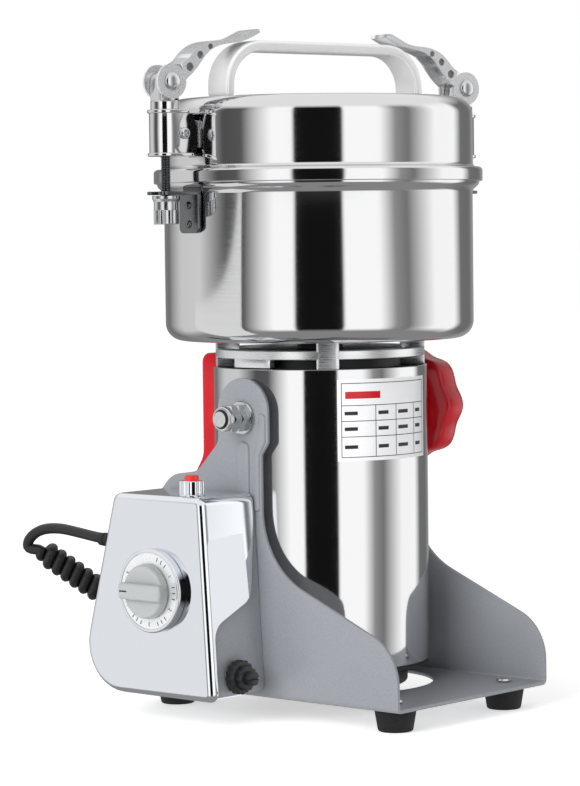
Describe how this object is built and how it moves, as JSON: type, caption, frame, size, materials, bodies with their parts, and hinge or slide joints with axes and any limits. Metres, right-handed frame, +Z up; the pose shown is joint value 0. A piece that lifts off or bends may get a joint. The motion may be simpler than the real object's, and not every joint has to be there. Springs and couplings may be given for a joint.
{
  "type": "tilting grain mill",
  "caption": "Tilting high-speed grain mill: latched round steel bowl with carry handle on a motor barrel, hung between two sheet arms with a timer box and a coiled cord.",
  "frame": {"origin": "centre of the footprint of the object without its cord, on the table under the feet", "axes": "+Z up, +X towards the side with the clamp knob, -Y towards the open front of the base"},
  "size_m": [0.2176, 0.2406, 0.3496],
  "materials": {
    "hammertone_paint": "fine hammer-finish stoved paint, satin",
    "black_rubber": "moulded, matt",
    "cord_jacket": "flexible cord jacket, satin",
    "chromed_sheet": "bright chrome plate, mirror",
    "satin_aluminium": "bead-blasted and satin",
    "black_plastic": "moulded, fine texture",
    "red_lens": "clear red lens",
    "grey_plastic": "moulded grey, satin",
    "polished_steel": "stainless steel, mirror polished",
    "cast_aluminium": "turned casting",
    "ground_steel": "ground",
    "laminated_iron": "varnished laminations",
    "copper": "enamelled copper wire",
    "zinc_steel": "bright zinc plate",
    "stamped_steel": "stamped stainless steel, tumbled",
    "red_phenolic": "glossy moulded phenolic",
    "white_silicone": "silicone"
  },
  "bodies": {
    "base": {"base_frame": "hammertone_paint", "foot_left_front": "black_rubber", "foot_right_front": "black_rubber", "foot_left_back": "black_rubber", "foot_right_back": "black_rubber", "control_box_chassis": "hammertone_paint", "control_box_cover": "chromed_sheet", "timer_dial": "satin_aluminium", "timer_mechanism": "black_plastic", "pilot_lamp_bezel": "chromed_sheet", "pilot_lamp_lens": "red_lens", "fuse_holder": "black_plastic", "cord_gland_box": "black_rubber", "cord_lead": "cord_jacket", "cord_coil": "cord_jacket", "cord_tail": "cord_jacket"},
    "timer_knob": {"timer_knob": "grey_plastic"},
    "motor": {"motor_barrel": "polished_steel", "bottom_cap": "black_plastic", "lower_end_frame": "cast_aluminium", "upper_end_frame": "cast_aluminium", "lower_bearing": "ground_steel", "upper_bearing": "ground_steel", "stator_core": "laminated_iron", "field_coil_right": "copper", "field_coil_left": "copper", "brush_holder_front": "black_plastic", "brush_holder_back": "black_plastic", "trunnion_stud_left": "zinc_steel", "trunnion_stud_right": "zinc_steel", "locknut_left": "zinc_steel", "rear_grip": "red_phenolic", "cord_gland_motor": "black_rubber", "grinding_bowl": "polished_steel", "shaft_seal": "black_rubber", "lid_gasket": "white_silicone", "lid": "polished_steel", "carry_handle": "satin_aluminium", "latch_catch_right": "stamped_steel", "latch_mount_right": "zinc_steel", "latch_catch_left": "stamped_steel", "latch_mount_left": "zinc_steel"},
    "rotor": {"motor_shaft": "ground_steel", "armature": "laminated_iron", "commutator": "copper", "cooling_fan": "black_plastic", "lower_blade": "ground_steel", "upper_blade": "ground_steel", "blade_nut": "zinc_steel"},
    "clamp_knob": {"clamp_knob": "red_phenolic"},
    "sleeve_right": {"latch_sleeve_right": "polished_steel", "latch_pin_right": "zinc_steel"},
    "rod_right": {"latch_rod_right": "stamped_steel"},
    "nut_right": {"latch_nut_right": "zinc_steel"},
    "lever_right": {"latch_lever_right": "stamped_steel"},
    "sleeve_left": {"latch_sleeve_left": "polished_steel", "latch_pin_left": "zinc_steel"},
    "rod_left": {"latch_rod_left": "stamped_steel"},
    "nut_left": {"latch_nut_left": "zinc_steel"},
    "lever_left": {"latch_lever_left": "stamped_steel"}
  },
  "joints": [
    {"name": "motor_tilt", "type": "hinge", "parent": "base", "child": "motor", "pos_m": [0.00509, 0.0074, 0.1532], "axis": [1, 0, 0], "range_deg": [0, 100], "deforming": ["cord_lead", "cord_coil", "cord_tail"]},
    {"name": "rotor_spin", "type": "hinge", "parent": "motor", "child": "rotor", "pos_m": [0.00509, 0.0074, 0.12], "axis": [0, 0, 1], "continuous": true},
    {"name": "clamp_knob_turn", "type": "hinge", "parent": "motor", "child": "clamp_knob", "pos_m": [0.08009, 0.0074, 0.1532], "axis": [1, 0, 0], "continuous": true},
    {"name": "timer_turn", "type": "hinge", "parent": "base", "child": "timer_knob", "pos_m": [-0.10191, 0.031, 0.0678], "axis": [-1, 0, 0], "range_deg": [0, 300]},
    {"name": "latch_swing_right", "type": "hinge", "parent": "motor", "child": "sleeve_right", "pos_m": [0.09328, -0.01054, 0.2965], "axis": [-0.1994, -0.9799, 0], "range_deg": [0, 25]},
    {"name": "latch_lever_right", "type": "hinge", "parent": "sleeve_right", "child": "lever_right", "pos_m": [0.09916, -0.01174, 0.3222], "axis": [0.1994, 0.9799, 0], "range_deg": [0, 120]},
    {"name": "latch_drop_right", "type": "slide", "parent": "sleeve_right", "child": "rod_right", "axis": [0, 0, -1], "range_m": [0, 0.005]},
    {"name": "latch_nut_turn_right", "type": "hinge", "parent": "rod_right", "child": "nut_right", "pos_m": [0.09916, -0.01174, 0.258], "axis": [0, 0, 1], "continuous": true},
    {"name": "latch_swing_left", "type": "hinge", "parent": "motor", "child": "sleeve_left", "pos_m": [-0.0831, 0.02534, 0.2965], "axis": [0.1994, 0.9799, 0], "range_deg": [0, 25]},
    {"name": "latch_lever_left", "type": "hinge", "parent": "sleeve_left", "child": "lever_left", "pos_m": [-0.08898, 0.02654, 0.3222], "axis": [-0.1994, -0.9799, 0], "range_deg": [0, 120]},
    {"name": "latch_drop_left", "type": "slide", "parent": "sleeve_left", "child": "rod_left", "axis": [0, 0, -1], "range_m": [0, 0.005]},
    {"name": "latch_nut_turn_left", "type": "hinge", "parent": "rod_left", "child": "nut_left", "pos_m": [-0.08898, 0.02654, 0.258], "axis": [0, 0, 1], "continuous": true}
  ],
  "couplings": [
    {"joint": "latch_swing_right", "follows": "latch_lever_right", "ratio": 0.20833},
    {"joint": "latch_drop_right", "follows": "latch_lever_right", "m_per_rad": 0.002387},
    {"joint": "latch_swing_left", "follows": "latch_lever_left", "ratio": 0.20833},
    {"joint": "latch_drop_left", "follows": "latch_lever_left", "m_per_rad": 0.002387}
  ]
}
